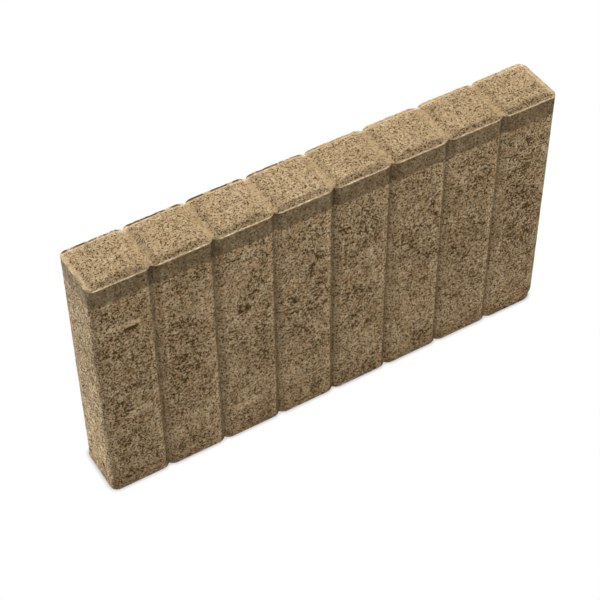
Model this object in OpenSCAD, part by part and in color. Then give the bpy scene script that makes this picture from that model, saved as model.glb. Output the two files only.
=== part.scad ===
// Palisade kerb stone, cast as one piece of concrete.
// The stone stands on its bed: X runs along the kerb, Y through its thickness, Z up.
// The origin is the middle of the bed. All sizes are in millimetres.

/* [Stone] */
// Length along the kerb, from end face to end face
length = 500; // [250:5:1000]
// Thickness over the fronts of the columns
thickness = 60; // [50:1:120]
// Height from the bed to the tops of the columns
height = 280; // [150:5:600]
// Number of columns that the two faces show
columns = 8; // [4:1:12]
// Radius of the upright corners at the two ends
end_corner_radius = 8; // [2:0.5:10]

/* [Grooves between the columns] */
// Depth of a groove below the fronts of the columns
groove_depth = 4; // [1:0.5:6]
// Radius of the rounded shoulder on each side of a groove
shoulder_radius = 10; // [6:0.5:20]

/* [Moulded top] */
// Height of a column's cap above the ledge around it
cap_rise = 3; // [1:0.5:6]
// Width of the sloping flank around a cap, seen from above
flank_width = 5.5; // [2:0.5:6]
// Radius of a cap's corners at its top edge
cap_corner_radius = 1.5; // [0.5:0.5:4]
// Width of the ledge in front of a cap and behind it
face_ledge = 2; // [1:0.5:4]
// Width of the ledge at the two ends of the stone
end_ledge = 4; // [1:0.5:6]
// Width of the flat valley between two caps
valley_width = 6; // [2:0.5:8]

/* [Hidden] */
$fn = 96;
// Overlap that lets cutters and fused solids pass a little beyond a face
overlap = 1;
concrete = [0.61, 0.52, 0.40];

column_pitch = length / columns;
ledge_height = height - cap_rise;
half_thickness = thickness / 2;
// Half the width of a groove where its shoulders run into the face
groove_half_width = sqrt(2 * shoulder_radius * groove_depth - pow(groove_depth, 2));
cap_base_radius = cap_corner_radius + flank_width;
cap_depth = thickness - 2 * face_ledge;

// X of the line between column i - 1 and column i, counted from the left end
function column_line(i) = -length / 2 + i * column_pitch;
// Distance from a column line to the foot of the cap beside it
function cap_setback(i) = i == 0 || i == columns ? end_ledge : valley_width / 2;

// Outline of a groove in the face at y = 0, opening towards -Y, with rounded shoulders
module groove_outline() {
    difference() {
        translate([-groove_half_width, -overlap])
            square([2 * groove_half_width, groove_depth + overlap]);
        for (side = [-1, 1])
            translate([side * groove_half_width, shoulder_radius])
                circle(r = shoulder_radius);
    }
}

// What is taken off a square corner at the origin, with the solid towards +X and +Y
module corner_outline() {
    difference() {
        translate([-overlap, -overlap])
            square(end_corner_radius + overlap);
        translate([end_corner_radius, end_corner_radius])
            circle(r = end_corner_radius);
    }
}

// The stone seen from above: a row of columns that run into each other
module plan_outline() {
    difference() {
        translate([-length / 2, -half_thickness])
            square([length, thickness]);
        for (face = [0, 1])
            mirror([0, face])
                for (i = [1 : columns - 1])
                    translate([column_line(i), -half_thickness])
                        groove_outline();
        for (face = [0, 1], end = [0, 1])
            mirror([0, face])
                mirror([end, 0])
                    translate([-length / 2, -half_thickness])
                        corner_outline();
    }
}

// Bar with sloping flanks along X, its foot centred on the origin
module flanked_bar(bar_length, foot_width) {
    rotate([90, 0, 90])
        translate([0, 0, -bar_length / 2])
            linear_extrude(bar_length)
                polygon([
                    [-foot_width / 2, -overlap],
                    [foot_width / 2, -overlap],
                    [foot_width / 2, 0],
                    [foot_width / 2 - flank_width, cap_rise],
                    [flank_width - foot_width / 2, cap_rise],
                    [-foot_width / 2, 0],
                ]);
}

// Cap of one column: a low pillow with flanks all round and coned corners
module cap(cap_width) {
    corner_x = cap_width / 2 - cap_base_radius;
    corner_y = cap_depth / 2 - cap_base_radius;
    flanked_bar(2 * corner_x, cap_depth);
    rotate([0, 0, 90])
        flanked_bar(2 * corner_y, cap_width);
    for (x = [-corner_x, corner_x], y = [-corner_y, corner_y])
        translate([x, y, 0]) {
            cylinder(h = cap_rise, r1 = cap_base_radius, r2 = cap_corner_radius);
            translate([0, 0, -overlap])
                cylinder(h = overlap, r = cap_base_radius);
        }
}

module kerb_stone() {
    color(concrete) {
        linear_extrude(ledge_height)
            plan_outline();
        for (i = [0 : columns - 1]) {
            foot_left = column_line(i) + cap_setback(i);
            foot_right = column_line(i + 1) - cap_setback(i + 1);
            translate([(foot_left + foot_right) / 2, 0, ledge_height])
                cap(foot_right - foot_left);
        }
    }
}

kerb_stone();
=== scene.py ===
"""Looks of a palisade kerb stone: the weathered casting, its concrete, a plain studio and the camera."""
import math

import bpy
from mathutils import Matrix, Vector


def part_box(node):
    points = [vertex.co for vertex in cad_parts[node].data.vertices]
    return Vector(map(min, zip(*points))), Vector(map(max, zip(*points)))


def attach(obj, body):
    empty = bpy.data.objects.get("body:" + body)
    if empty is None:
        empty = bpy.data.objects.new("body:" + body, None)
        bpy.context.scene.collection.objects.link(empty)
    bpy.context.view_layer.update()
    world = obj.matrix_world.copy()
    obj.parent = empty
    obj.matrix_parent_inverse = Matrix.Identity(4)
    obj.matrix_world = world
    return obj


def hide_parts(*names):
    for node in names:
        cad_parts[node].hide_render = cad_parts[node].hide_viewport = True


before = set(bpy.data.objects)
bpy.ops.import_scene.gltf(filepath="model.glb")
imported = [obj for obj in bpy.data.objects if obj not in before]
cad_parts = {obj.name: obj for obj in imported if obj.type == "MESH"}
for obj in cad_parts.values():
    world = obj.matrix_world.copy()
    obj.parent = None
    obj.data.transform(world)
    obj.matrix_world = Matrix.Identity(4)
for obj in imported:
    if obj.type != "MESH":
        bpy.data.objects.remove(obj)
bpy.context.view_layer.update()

# Sizes of the casting, in millimetres
MM = 0.001
LOW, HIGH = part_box("kerb_stone")
HALF_LENGTH = (HIGH.x - LOW.x) / 2 / MM
HALF_THICKNESS = (HIGH.y - LOW.y) / 2 / MM
HEIGHT = (HIGH.z - LOW.z) / MM
COLUMNS = 8
COLUMN_PITCH = 2 * HALF_LENGTH / COLUMNS
CAP_RISE = 3
LEDGE_HEIGHT = HEIGHT - CAP_RISE
FACE_LEDGE = 2
END_LEDGE = 4
HALF_VALLEY = 3
FLANK_WIDTH = 5.5
BAND_WIDTH = 21.5
BAND_FOOT = LEDGE_HEIGHT - BAND_WIDTH

# Mesh of the weathered stone
REMESH_DEPTH = 9
TRIANGLES = 190_000

# Depths of the relief, in millimetres
SKIN_DEPTH = 0.1
HOLLOW_DEPTH = 0.8
SLIT_DEPTH = 0.8
PORE_DEPTH = 0.5
GRAIN_DEPTH = 0.3
WAVE_DEPTH = 0.5
NIBBLE_DEPTH = 0.6
FOOT_WEAR_DEPTH = 3.5
FINE_RELIEF_DEPTH = 0.6

# Sizes of the texture, in millimetres
WAVE_LENGTH = 24
HOLLOW_SIZE = 7
PORE_SIZE = 3.8
FINE_PORE_SIZE = 1.5
PINHOLE_SPACING = 4
GRAIN_SIZE = 1.5
SPECKLE_SIZE = 1.7
STREAK_WIDTH = 3.2
NICK_LENGTH = 4
DASH_LENGTH = 9

# Ellipses on the front face: X, Z, half length and half height in millimetres
SLITS = (
    (-213, 214, 8, 2.6),
)
TORN_SPOTS = (
    (-236, 245, 3, 2),
    (-171, 112, 7, 3),
    (-145, 107, 4, 3),
    (-96, 175, 9, 4),
    (-105, 242, 4, 2),
    (-168, 207, 5, 3),
    (-207, 117, 4, 3),
    (-163, 142, 10, 3),
    (10, 221, 8, 2.5),
    (-35, 231, 4, 2.5),
    (70, 172, 3, 5),
    (113, 136, 7, 3),
    (40, 80, 4, 3),
    (22, 82, 4, 2.5),
    (-16, 22, 5, 3),
    (48, 27, 5, 3),
    (166, 213, 9, 3),
    (199, 238, 5, 3),
    (203, 220, 8, 4),
    (223, 230, 7, 3),
    (165, 190, 9, 4),
    (114, 190, 4, 3),
    (216, 167, 8, 3),
    (226, 141, 5, 3),
    (211, 121, 7, 3),
    (104, 103, 5, 4),
    (144, 58, 8, 2.5),
    (108, 20, 6, 3),
    (-238, 11, 9, 2.5),
    (-220, 15, 8, 2),
)
DENSE_SPOTS = (
    (-213, 220, 13, 5),
    (-95, 40, 26, 6),
    (-215, 100, 10, 6),
)

# Ellipses on the left end: Y, Z, half width and half height in millimetres
END_PITS = (
    (-11, 22, 2, 4),
    (12, 33, 2, 3),
    (20, 12, 3, 2),
)

# Worn right foot of the front face: its place and reach in millimetres, and the way it wore
WORN_FOOT = (HALF_LENGTH - 3, 5 - HALF_THICKNESS, 0)
WORN_REACH = 12
WORN_WAY = (-0.7, 0.3, 0.6)

# Camera, as it stood for the photograph
CAMERA_AIM = Vector((-21.0 * MM, 0, 116.5 * MM))
CAMERA_DISTANCE = 1.723
CAMERA_AZIMUTH = math.radians(-30.78)
CAMERA_ELEVATION = math.radians(46.94)
CAMERA_ROLL = math.radians(-0.50)
CAMERA_LENS = 106.2
CAMERA_SENSOR = 36

# Floor, in metres, and how bright its contact shadow stays at the stone
FLOOR_SIZE = 30
CONTACT_REACH = 0.005
CONTACT_SHADE = 0.62

# Colours, linear
SAND_PALE = (0.572, 0.416, 0.239, 1)
SAND_DEEP = (0.500, 0.358, 0.200, 1)
RUSTY_TAN = (0.510, 0.325, 0.160, 1)
# Brown of the pores and holes, partly painted shade inside them
PORE_BROWN_AND_SHADE = (0.080, 0.045, 0.0155, 1)
WHITE = (1, 1, 1, 1)
END_LIGHT_TINT = (0.86, 0.925, 1.0)
FRONT_LIGHT_TINT = (0.97, 0.98, 1.0)


class Net:
    """A node tree with short ways to add nodes. Values may be numbers, tuples or sockets."""

    def __init__(self, tree):
        self.tree = tree

    def add(self, kind, sockets=None, **settings):
        made = self.tree.nodes.new(kind)
        for name, value in settings.items():
            setattr(made, name, value)
        for socket, value in (sockets or {}).items():
            if isinstance(value, bpy.types.NodeSocket):
                self.tree.links.new(value, made.inputs[socket])
            else:
                made.inputs[socket].default_value = value
        return made

    def math(self, operation, a, b=0.0):
        return self.add("ShaderNodeMath", {0: a, 1: b}, operation=operation).outputs[0]

    def chain(self, operation, first, *others):
        """One operation over any number of values, from the first to the last."""
        result = first
        for other in others:
            result = self.math(operation, result, other)
        return result

    def product(self, *values):
        return self.chain("MULTIPLY", *values)

    def total(self, *values):
        return self.chain("ADD", *values)

    def difference(self, *values):
        return self.chain("SUBTRACT", *values)

    def greatest(self, *values):
        return self.chain("MAXIMUM", *values)

    def least(self, *values):
        return self.chain("MINIMUM", *values)

    def vector(self, operation, a, b):
        return self.add("ShaderNodeVectorMath", {0: a, 1: b}, operation=operation).outputs[0]

    def length(self, vector):
        return self.add("ShaderNodeVectorMath", {0: vector}, operation="LENGTH").outputs["Value"]

    def split(self, vector):
        return self.add("ShaderNodeSeparateXYZ", {0: vector}).outputs

    def ramp(self, value, start, end, first=0.0, last=1.0):
        """Smooth step from first at start to last at end."""
        sockets = {"Value": value, "From Min": start, "From Max": end, "To Min": first, "To Max": last}
        return self.add("ShaderNodeMapRange", sockets, interpolation_type="SMOOTHSTEP").outputs[0]

    def blend(self, share, first, last):
        """Value that goes from first, where the share is 0, to last, where it is 1."""
        return self.ramp(share, 0, 1, first, last)

    def noise(self, place, size, detail=2.0, roughness=0.5, distortion=0.0):
        """Noise from 0 to 1 whose waves are about size millimetres long."""
        sockets = {
            "Vector": place,
            "Scale": 1 / size,
            "Detail": detail,
            "Roughness": roughness,
            "Distortion": distortion,
        }
        return self.add("ShaderNodeTexNoise", sockets).outputs[0]

    def cells(self, place, size):
        """Cells about size millimetres wide: a colour for each, and the distance from its middle."""
        return self.add("ShaderNodeTexVoronoi", {"Vector": place, "Scale": 1 / size}).outputs

    def mix(self, factor, a, b):
        """Colour that goes from a to b."""
        return self.add("ShaderNodeMix", {0: factor, 6: a, 7: b}, data_type="RGBA").outputs[2]

    def scale(self, vector, factor):
        """Vector made longer or shorter, or colour made lighter or darker, by a factor."""
        sockets = {0: vector, "Scale": factor}
        return self.add("ShaderNodeVectorMath", sockets, operation="SCALE").outputs[0]

    def tone(self, colour, factor):
        """Colour made lighter or darker by a factor, and warmer the darker it gets."""
        green = self.math("POWER", factor, 1.18)
        blue = self.math("POWER", factor, 1.45)
        factors = self.add("ShaderNodeCombineXYZ", {0: factor, 1: green, 2: blue}).outputs[0]
        return self.vector("MULTIPLY", colour, factors)


class CastSurface:
    """Shares over the casting, from 0 to 1, that its relief and its colour have in common."""

    def __init__(self, net, position):
        self.net = net
        self.place = net.scale(position, 1 / MM)
        self.x, self.y, self.z = net.split(self.place)
        inset = net.difference(HALF_THICKNESS, net.math("ABSOLUTE", self.y))
        end_inset = net.difference(HALF_LENGTH, net.math("ABSOLUTE", self.x))

        # Signed distance from the nearest line between two columns
        counted = net.total(self.x, HALF_LENGTH + COLUMN_PITCH / 2)
        along_pitch = net.math("FLOORED_MODULO", counted, COLUMN_PITCH)
        self.across = net.difference(along_pitch, COLUMN_PITCH / 2)
        self.inner_line = net.ramp(end_inset, 12, 16)

        # Zones: upright faces, ends, and the ledges around the caps
        self.upright = net.ramp(self.z, LEDGE_HEIGHT - 0.3, LEDGE_HEIGHT - 0.8)
        self.on_top = net.difference(1, self.upright)
        by_front = net.ramp(self.y, 10 - HALF_THICKNESS, 6 - HALF_THICKNESS)
        self.front = net.product(self.upright, by_front)
        by_left_end = net.ramp(self.x, 6 - HALF_LENGTH, 3 - HALF_LENGTH)
        self.left_end = net.product(self.upright, by_left_end)
        self.end_face = net.product(self.upright, net.ramp(end_inset, 4, 1))
        ledge_width = net.blend(self.inner_line, END_LEDGE, HALF_VALLEY)
        self.from_line = net.difference(net.math("ABSOLUTE", self.across), ledge_width)
        self.from_face = net.difference(inset, FACE_LEDGE)
        self.cap_inset = net.least(self.from_line, self.from_face)
        self.ledge = net.product(net.ramp(self.cap_inset, 0.5, -0.3), self.on_top)

        # Texture
        self.band = self.ragged_band()
        self.slit = self.spots(SLITS, self.place, self.front, 4, 0.3)
        end_plane = net.add("ShaderNodeCombineXYZ", {0: self.y, 2: self.z}).outputs[0]
        self.end_pit = self.spots(END_PITS, end_plane, self.left_end, 3, 1.0)
        self.torn_spot = self.spots(TORN_SPOTS, self.place, self.front, 5, 1.2)
        self.dense_spot = self.spots(DENSE_SPOTS, self.place, self.front, 9, 1.0)
        self.openness = self.open_texture()
        self.hollow = self.torn_hollows()
        self.torn_pores = self.pores()

    def ragged_band(self):
        """Finer band below the top edge of the upright faces."""
        net = self.net
        ragged = net.difference(net.noise(self.place, 6, 3, 0.6), 0.5)
        level = net.total(self.z, net.product(ragged, 9))
        return net.product(net.ramp(level, BAND_FOOT - 0.9, BAND_FOOT + 0.9), self.upright)

    def spots(self, ellipses, plane, face, grain, raggedness):
        """Ragged ellipses on one face."""
        net = self.net
        distances = []
        for across, z, half_length, half_height in ellipses:
            from_centre = net.vector("SUBTRACT", plane, (across, 0, z))
            in_radii = net.vector("MULTIPLY", from_centre, (1 / half_length, 0, 1 / half_height))
            distances.append(net.length(in_radii))
        ragged = net.difference(net.noise(self.place, grain, 2, 0.6), 0.5)
        edge = net.total(net.least(*distances), net.product(ragged, 2 * raggedness))
        return net.product(net.ramp(edge, 1.15, 0.75), face)

    def open_texture(self):
        """How open the upright faces are, from their dense skin to their coarse patches."""
        net = self.net
        patches = net.product(
            net.ramp(net.noise(self.place, 38, 3, 0.55), 0.38, 0.6, 0.15, 1.1),
            net.ramp(net.noise(self.place, 15, 3, 0.6), 0.4, 0.58, 0.3, 1.3),
        )
        right_columns = net.ramp(self.x, 60, 110, 0, 0.6)
        from_middle = net.math("ABSOLUTE", net.difference(self.z, 145))
        on_end = net.ramp(self.z, 20, 45, 1.1, 0.8)
        share = net.product(
            net.greatest(patches, right_columns),
            net.ramp(net.math("ABSOLUTE", self.across), 6, 13, 0.3, 1),
            net.ramp(self.z, 4, 30, 0.75, 1.1),
            net.ramp(from_middle, 75, 35, 0.8, 1.1),
            net.ramp(self.z, BAND_FOOT - 11.5, BAND_FOOT - 1.5, 1, 0.45),
            net.blend(self.band, 1, 0.35),
            net.blend(self.dense_spot, 1, 0.1),
            net.blend(self.end_face, 1, on_end),
        )
        return net.product(net.greatest(share, self.torn_spot), self.upright)

    def torn_hollows(self):
        """Torn hollows between the grains, flattened along Z."""
        net = self.net
        flattened = net.vector("MULTIPLY", self.place, (1, 1, 1.6))
        field = net.noise(flattened, HOLLOW_SIZE, 4, 0.65, 0.4)
        torn = net.ramp(net.total(field, net.product(self.torn_spot, 0.05)), 0.57, 0.68)
        return net.product(torn, self.openness)

    def pores(self):
        """Crisp pores of all sizes in clusters, closer together where the face is open."""
        net = self.net
        flattened = net.vector("MULTIPLY", self.place, (1, 1, 1.4))
        field = net.noise(flattened, PORE_SIZE, 4, 0.78, 0.4)
        opened = net.total(net.product(self.openness, 0.055), net.product(self.torn_spot, 0.05))
        level = net.difference(net.total(field, opened), net.product(self.ledge, 0.1))
        return net.ramp(level, 0.588, 0.608)


class MouldedTop:
    """Shares of the top's own forms: the caps' flanks, the ledges and a line along the rear flanks."""

    def __init__(self, net, cast):
        flank_foot = net.product(net.ramp(cast.cap_inset, -0.2, 0.6), cast.on_top)
        self.flank = net.product(flank_foot, net.ramp(cast.cap_inset, FLANK_WIDTH, FLANK_WIDTH - 0.6))
        face_side = net.ramp(cast.from_face, FLANK_WIDTH, FLANK_WIDTH - 0.6)
        self.face_flank = net.product(self.flank, face_side)
        self.face_ledge = net.product(net.ramp(cast.from_face, 0.4, -0.2), cast.on_top)
        pale_reach = net.blend(cast.inner_line, 3, 0.3)
        self.line_ledge = net.product(net.ramp(cast.from_line, pale_reach, -0.3), cast.on_top)
        from_rear = net.difference(HALF_THICKNESS, cast.y)
        self.rear_line = net.product(
            net.ramp(from_rear, 6.4, 5.6),
            net.ramp(from_rear, 2.6, 3.2),
            cast.on_top,
        )


def weathering_tree():
    """Geometry nodes that draw the cast faces inwards where the concrete is torn, wavy or nibbled."""
    tree = bpy.data.node_groups.new("weathering", "GeometryNodeTree")
    tree.interface.new_socket("Geometry", in_out="INPUT", socket_type="NodeSocketGeometry")
    tree.interface.new_socket("Geometry", in_out="OUTPUT", socket_type="NodeSocketGeometry")
    net = Net(tree)
    source = net.add("NodeGroupInput").outputs[0]
    position = net.add("GeometryNodeInputPosition").outputs[0]
    normal = net.add("GeometryNodeInputNormal").outputs[0]
    slope = net.split(normal)[2]
    cast = CastSurface(net, position)

    # Torn places
    hollows = net.product(cast.hollow, HOLLOW_DEPTH)
    slits = net.product(net.ramp(net.greatest(cast.slit, cast.end_pit), 0.4, 1), SLIT_DEPTH)
    pore_share = net.blend(cast.upright, 0.5, 1)
    pores = net.product(net.ramp(cast.torn_pores, 0.2, 1), pore_share, PORE_DEPTH)
    torn = net.greatest(hollows, slits, pores)

    # Waves and grains
    wave_depth = net.blend(cast.upright, 0.3 * WAVE_DEPTH, WAVE_DEPTH)
    wave = net.product(net.noise(cast.place, WAVE_LENGTH), wave_depth)
    grainy = net.product(net.noise(cast.place, 4.2, 3, 0.62), GRAIN_DEPTH)
    uneven = net.total(wave, net.total(grainy, SKIN_DEPTH))

    # Nibbled arrises, more so to the right, and the worn foot
    arris = net.product(net.ramp(slope, 0.15, 0.5), net.ramp(slope, 0.97, 0.8))
    nibble_depth = net.product(net.ramp(cast.x, -150, 150, 0.8, 1.5), NIBBLE_DEPTH)
    nibble = net.product(
        arris,
        net.ramp(net.noise(cast.place, NICK_LENGTH, 3, 0.6), 0.42, 0.7),
        nibble_depth,
    )
    from_foot = net.length(net.vector("SUBTRACT", cast.place, WORN_FOOT))
    foot_wear = net.scale(WORN_WAY, net.ramp(from_foot, WORN_REACH, 1, 0, FOOT_WEAR_DEPTH * MM))

    depth = net.total(torn, uneven, nibble)
    off_bed = net.ramp(slope, -0.8, -0.3)
    inward = net.vector("ADD", net.scale(normal, net.product(depth, off_bed, -MM)), foot_wear)
    placed = net.add("GeometryNodeSetPosition", {"Geometry": source, "Offset": inward}).outputs[0]
    net.add("NodeGroupOutput", {0: placed})
    return tree


def select_only(piece):
    bpy.ops.object.select_all(action="DESELECT")
    piece.select_set(True)
    bpy.context.view_layer.objects.active = piece


def apply_modifier(piece, kind, **settings):
    """Adds a modifier, sets it and applies it."""
    modifier = piece.modifiers.new(kind.lower(), kind)
    for name, value in settings.items():
        setattr(modifier, name, value)
    select_only(piece)
    bpy.ops.object.modifier_apply(modifier=modifier.name)


def weathered_stone():
    """The casting with its relief: a merged copy of the solid, remeshed finely and worn inwards."""
    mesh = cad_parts["kerb_stone"].data.copy()
    stone = bpy.data.objects.new("weathered_stone", mesh)
    bpy.context.scene.collection.objects.link(stone)
    select_only(stone)
    bpy.ops.object.mode_set(mode="EDIT")
    bpy.ops.mesh.select_all(action="SELECT")
    bpy.ops.mesh.remove_doubles(threshold=0.01 * MM)
    bpy.ops.object.mode_set(mode="OBJECT")
    apply_modifier(
        stone,
        "REMESH",
        mode="SHARP",
        octree_depth=REMESH_DEPTH,
        use_remove_disconnected=False,
    )
    apply_modifier(stone, "NODES", node_group=weathering_tree())
    stone.data.calc_loop_triangles()
    share = TRIANGLES / len(stone.data.loop_triangles)
    apply_modifier(stone, "DECIMATE", ratio=share)

    # Thinning moves points a little, so each is held inside the solid's box
    for vertex in stone.data.vertices:
        vertex.co = [min(max(value, low), high) for value, low, high in zip(vertex.co, LOW, HIGH)]
    select_only(stone)
    bpy.ops.object.shade_smooth()
    return stone


def empty_material(name):
    """A material with no nodes yet, and its net."""
    material = bpy.data.materials.new(name)
    material.use_nodes = True
    material.node_tree.nodes.clear()
    return material, Net(material.node_tree)


def sand_and_cement(net, cast, top, speckle):
    """Colour of the grains and the cement between them, before painted shade and light, dirt and wear.
    """
    place = cast.place
    sand = net.mix(net.ramp(net.noise(place, 60, 3, 0.55), 0.35, 0.65), SAND_DEEP, SAND_PALE)
    most_rust = net.blend(cast.upright, 0.3, 0.8)
    rust = net.ramp(net.noise(place, 9, 4, 0.65), 0.48, 0.66, 0, most_rust)
    sand = net.mix(rust, sand, RUSTY_TAN)
    sand = net.mix(net.ramp(cast.z, 45, 5, 0, 0.4), sand, RUSTY_TAN)
    grain_shade = net.split(net.cells(place, GRAIN_SIZE)["Color"])[0]
    grain = net.blend(grain_shade, 0.78, 1.22)
    mottling = net.ramp(net.noise(place, 11, 3, 0.6), 0.35, 0.65, 0.88, 1.12)
    drawn_out = net.vector("MULTIPLY", place, (1, 1, 0.12))
    streak = net.ramp(net.noise(drawn_out, STREAK_WIDTH, 2, 0.6), 0.35, 0.65, 0.92, 1.08)
    unevenness = net.product(
        net.math("POWER", grain, 0.8),
        net.ramp(speckle, 0.3, 0.7, 0.86, 1.14),
        net.blend(cast.upright, 1, net.product(streak, mottling)),
    )
    evened = net.math("POWER", unevenness, net.blend(cast.inner_line, 0.4, 0.8))
    return net.tone(sand, net.blend(top.line_ledge, unevenness, evened))


def strip_by_line(net, cast, start, full, fading, gone):
    """Upright strip beside each line between two columns, from its distances across that line."""
    return net.product(
        net.ramp(cast.across, start, full),
        net.ramp(cast.across, gone, fading),
        cast.inner_line,
        cast.upright,
    )


def painted_shade_light_and_tone(net, cast, top):
    """How much lighter or darker each place is: painted shade in the grooves, on the flanks and near the
    bed, painted light at the end flanks, dirt near the bed and the concrete's own tones.
    """
    # Painted shade down each groove, where its walls shade each other
    groove_painted_shade = strip_by_line(net, cast, -5.4, -2.8, -1.2, 2.8)
    # Painted shade on the groove wall that faces left
    wall_painted_shade = strip_by_line(net, cast, 2, 4, 6, 9)
    pale_strip = strip_by_line(net, cast, -12, -9, -6, -4.5)
    return net.product(
        # Darker towards the bed: partly painted shade from the floor, partly dirt
        net.ramp(cast.z, 2, 14, 0.82, 1),
        net.ramp(cast.z, 10, 42, 0.88, 1.02),
        net.ramp(cast.z, 190, 215, 1, net.blend(cast.upright, 1, 1.05)),
        net.blend(cast.band, 1, net.blend(cast.end_face, 0.51, 0.59)),
        # Painted shade in each groove
        net.blend(groove_painted_shade, 1, 0.52),
        # Painted shade on the groove wall that faces left
        net.blend(wall_painted_shade, 1, 0.88),
        net.blend(pale_strip, 1, 1.08),
        # Cap flanks: paler at the two ends, painted light; slightly darker between the columns, partly
        # painted shade, partly their rougher skin
        net.blend(top.flank, 1, net.blend(cast.inner_line, 1.1, 0.95)),
        # Painted shade on the cap flanks that face the front
        net.blend(top.face_flank, 1, 0.9),
        net.blend(cast.dense_spot, 1, 1.08),
    )


def rubbed_edges(net, cast, top):
    """How much paler or darker the ledges and the line along the rear flanks are."""
    most_rubbed = net.ramp(cast.x, -100, 150, 1.6, 1.4)
    front_gain = net.ramp(net.noise(cast.place, 5, 3, 0.65), 0.4, 0.6, 1.1, most_rubbed)
    face_gain = net.ramp(cast.y, -10, 10, front_gain, 1.1)
    line_gain = net.blend(cast.inner_line, 1.17, 0.93)
    return net.product(
        net.blend(top.face_ledge, 1, face_gain),
        net.blend(top.line_ledge, 1, line_gain),
        net.blend(top.rear_line, 1, 1.25),
    )


def broken_arrises(net, cast):
    """Dark nicks in the rear and right arrises below the top and in the left end's rear corner."""
    from_rear = net.difference(HALF_THICKNESS, cast.y)
    from_right = net.difference(HALF_LENGTH, cast.x)
    nicks = net.ramp(net.noise(cast.place, NICK_LENGTH, 3, 0.65), 0.5, 0.58)
    dashes = net.ramp(net.noise(cast.place, DASH_LENGTH, 3, 0.65), 0.42, 0.5)
    dash_share = net.ramp(cast.x, -60, 60, 1, net.product(nicks, 0.6))
    rear_nicks = net.product(net.ramp(from_rear, 3, 2.4), dashes, dash_share)
    right_nicks = net.product(net.ramp(from_right, 2.2, 1.6), nicks)
    by_arris = net.ramp(cast.z, LEDGE_HEIGHT - 1.8, LEDGE_HEIGHT - 1)
    top_nicks = net.product(net.greatest(rear_nicks, right_nicks), by_arris)
    corner_nicks = net.product(cast.left_end, net.ramp(from_rear, 7, 4.5), nicks)
    return net.greatest(top_nicks, corner_nicks)


def closed_skin(net, cast, top):
    """Where the skin of the casting is closed: on the ledges and along the rear flanks."""
    valley = net.product(top.line_ledge, cast.inner_line)
    ledges = net.product(cast.ledge, net.blend(valley, 1, 0.5))
    return net.greatest(ledges, net.product(top.rear_line, 0.8))


def fine_pore_level(net, cast, top, skin):
    """Field whose high places are the fine pores between the grains."""
    field = net.noise(cast.place, FINE_PORE_SIZE, 2, 0.6, 0.5)
    coarser = net.greatest(net.product(top.face_flank, 0.02), net.product(cast.end_face, 0.035))
    opened = net.total(coarser, net.product(cast.openness, 0.025))
    closed = net.total(net.product(skin, 0.12), net.product(cast.dense_spot, 0.08))
    return net.difference(net.total(field, opened), closed)


def pinholes(net, cast, skin):
    """Small round holes all over, but for the closed skin."""
    cells = net.cells(cast.place, PINHOLE_SPACING)
    open_cell = net.ramp(net.split(cells["Color"])[1], 0.3, 0.32)
    hole = net.ramp(cells["Distance"], 0.27, 0.19)
    return net.product(hole, open_cell, net.difference(1, skin))


def concrete():
    """Sandy open-textured concrete: tan grains, brown pores and holes whose darkness is partly painted
    shade, a finer band, pale ledges, and painted shade in the grooves and on the flanks.
    """
    material, net = empty_material("concrete")
    cast = CastSurface(net, net.add("ShaderNodeTexCoord").outputs["Object"])
    top = MouldedTop(net, cast)
    speckle = net.noise(cast.place, SPECKLE_SIZE, 2, 0.6)
    sand = sand_and_cement(net, cast, top, speckle)
    sand = net.scale(sand, painted_shade_light_and_tone(net, cast, top))
    sand = net.tone(sand, rubbed_edges(net, cast, top))

    # Dark places: pores, holes and nicks, their brown partly the concrete's own, partly painted shade
    # inside the holes
    skin = closed_skin(net, cast, top)
    fine_level = fine_pore_level(net, cast, top, skin)
    torn_share = net.product(net.blend(cast.upright, 0.4, 1), net.blend(cast.band, 1, 0.7))
    fine_share = net.blend(cast.band, 1, 0.6)
    dark = net.greatest(
        net.product(cast.torn_pores, torn_share),
        net.product(net.ramp(fine_level, 0.56, 0.59), fine_share),
        cast.slit,
        cast.end_pit,
        broken_arrises(net, cast),
        pinholes(net, cast, skin),
    )
    dark_share = net.product(dark, net.blend(cast.upright, 0.9, 0.97))

    # Relief that is too fine for the mesh
    pitted = net.greatest(net.ramp(fine_level, 0.50, 0.64), net.product(cast.torn_pores, 0.8))
    relief = net.difference(net.product(speckle, 0.5), net.product(pitted, 0.6))
    bump_sockets = {"Height": relief, "Distance": FINE_RELIEF_DEPTH * MM, "Strength": 0.7}
    bump = net.add("ShaderNodeBump", bump_sockets).outputs[0]

    surface = net.add(
        "ShaderNodeBsdfPrincipled",
        {
            "Base Color": net.mix(dark_share, sand, PORE_BROWN_AND_SHADE),
            "Roughness": net.blend(dark, 0.86, 0.98),
            "Normal": bump,
            "Specular IOR Level": 0.04,
        },
    )
    net.add("ShaderNodeOutputMaterial", {"Surface": surface.outputs[0]})
    return material


def pale_floor():
    """White glowing floor that shows nothing but a painted contact shadow, the dark line where the stone
    stands on it.
    """
    bpy.ops.object.select_all(action="DESELECT")
    bpy.ops.mesh.primitive_plane_add(size=FLOOR_SIZE, location=(0, 0, LOW.z))
    floor = bpy.context.object
    floor.name = "floor"
    material, net = empty_material("floor_white")
    openness = net.add("ShaderNodeAmbientOcclusion", {"Distance": CONTACT_REACH}).outputs["AO"]
    brightness = net.greatest(openness, CONTACT_SHADE)
    glow = net.add("ShaderNodeEmission", {"Color": WHITE, "Strength": brightness})
    net.add("ShaderNodeOutputMaterial", {"Surface": glow.outputs[0]})
    floor.data.materials.append(material)
    floor.visible_diffuse = False
    floor.visible_glossy = False
    floor.visible_shadow = False


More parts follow.
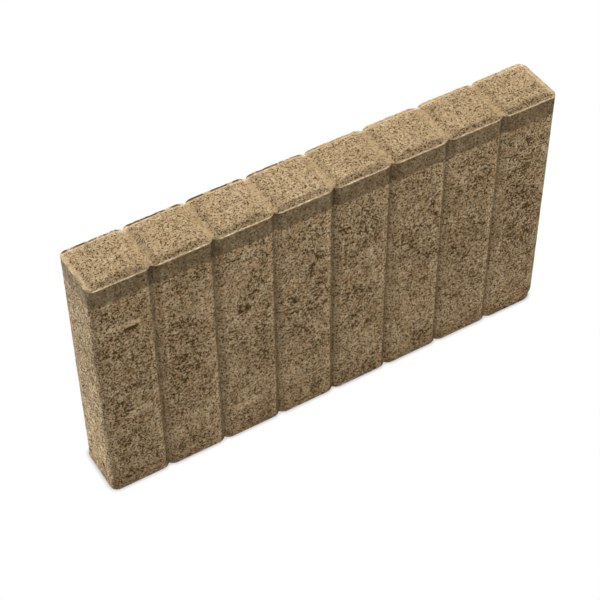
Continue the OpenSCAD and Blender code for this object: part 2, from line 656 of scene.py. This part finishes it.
def soft_light(name, place, aim, width, height, power, tint=(1, 1, 1)):
    data = bpy.data.lights.new(name, "AREA")
    data.shape = "RECTANGLE"
    data.size = width
    data.size_y = height
    data.energy = power
    data.color = tint
    light = bpy.data.objects.new(name, data)
    light.location = place
    light.rotation_euler = (Vector(aim) - Vector(place)).to_track_quat("-Z", "Y").to_euler()
    bpy.context.scene.collection.objects.link(light)


def studio():
    """Soft light from behind, a bounce from below onto the left end and a weak fill from the front."""
    middle = (LOW + HIGH) / 2
    soft_light("key", place=(0.3, 1.65, 1.55), aim=middle, width=1.4, height=1.0, power=49)
    soft_light(
        "end_bounce",
        place=(-0.85, 0.5, -0.35),
        aim=(LOW.x, 0, 0.12),
        width=0.5,
        height=0.35,
        power=15.5,
        tint=END_LIGHT_TINT,
    )
    soft_light(
        "front_fill",
        place=(0.65, -1.85, 0.35),
        aim=middle,
        width=1.8,
        height=1.0,
        power=19.8,
        tint=FRONT_LIGHT_TINT,
    )
    world = bpy.data.worlds.new("studio_sky")
    bpy.context.scene.world = world
    world.use_nodes = True
    world.node_tree.nodes.clear()
    net = Net(world.node_tree)
    direction = net.add("ShaderNodeTexCoord").outputs["Generated"]
    sky = net.ramp(net.split(direction)[2], -0.05, 0.15, 0, 0.4)
    seen = net.add("ShaderNodeLightPath").outputs["Is Camera Ray"]
    brightness = net.greatest(sky, seen)
    background = net.add("ShaderNodeBackground", {"Color": WHITE, "Strength": brightness})
    net.add("ShaderNodeOutputWorld", {"Surface": background.outputs[0]})
    bpy.context.scene.view_settings.view_transform = "Standard"


def camera():
    """Camera that looks down on the front and the left end."""
    azimuth, elevation = CAMERA_AZIMUTH, CAMERA_ELEVATION
    back = Vector(
        (
            math.sin(azimuth) * math.cos(elevation),
            -math.cos(azimuth) * math.cos(elevation),
            math.sin(elevation),
        )
    )
    right = Vector((math.cos(azimuth), math.sin(azimuth), 0))
    up = back.cross(right)
    rolled_right = right * math.cos(CAMERA_ROLL) + up * math.sin(CAMERA_ROLL)
    rolled_up = up * math.cos(CAMERA_ROLL) - right * math.sin(CAMERA_ROLL)
    data = bpy.data.cameras.new("camera")
    data.lens = CAMERA_LENS
    data.sensor_width = CAMERA_SENSOR
    eye = bpy.data.objects.new("camera", data)
    turn = Matrix((rolled_right, rolled_up, back)).transposed().to_4x4()
    eye.matrix_world = Matrix.Translation(CAMERA_AIM + back * CAMERA_DISTANCE) @ turn
    bpy.context.scene.collection.objects.link(eye)
    bpy.context.scene.camera = eye


camera()
pale_floor()
studio()
stone = weathered_stone()
stone.data.materials.clear()
stone.data.materials.append(concrete())
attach(stone, "root")
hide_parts("kerb_stone")
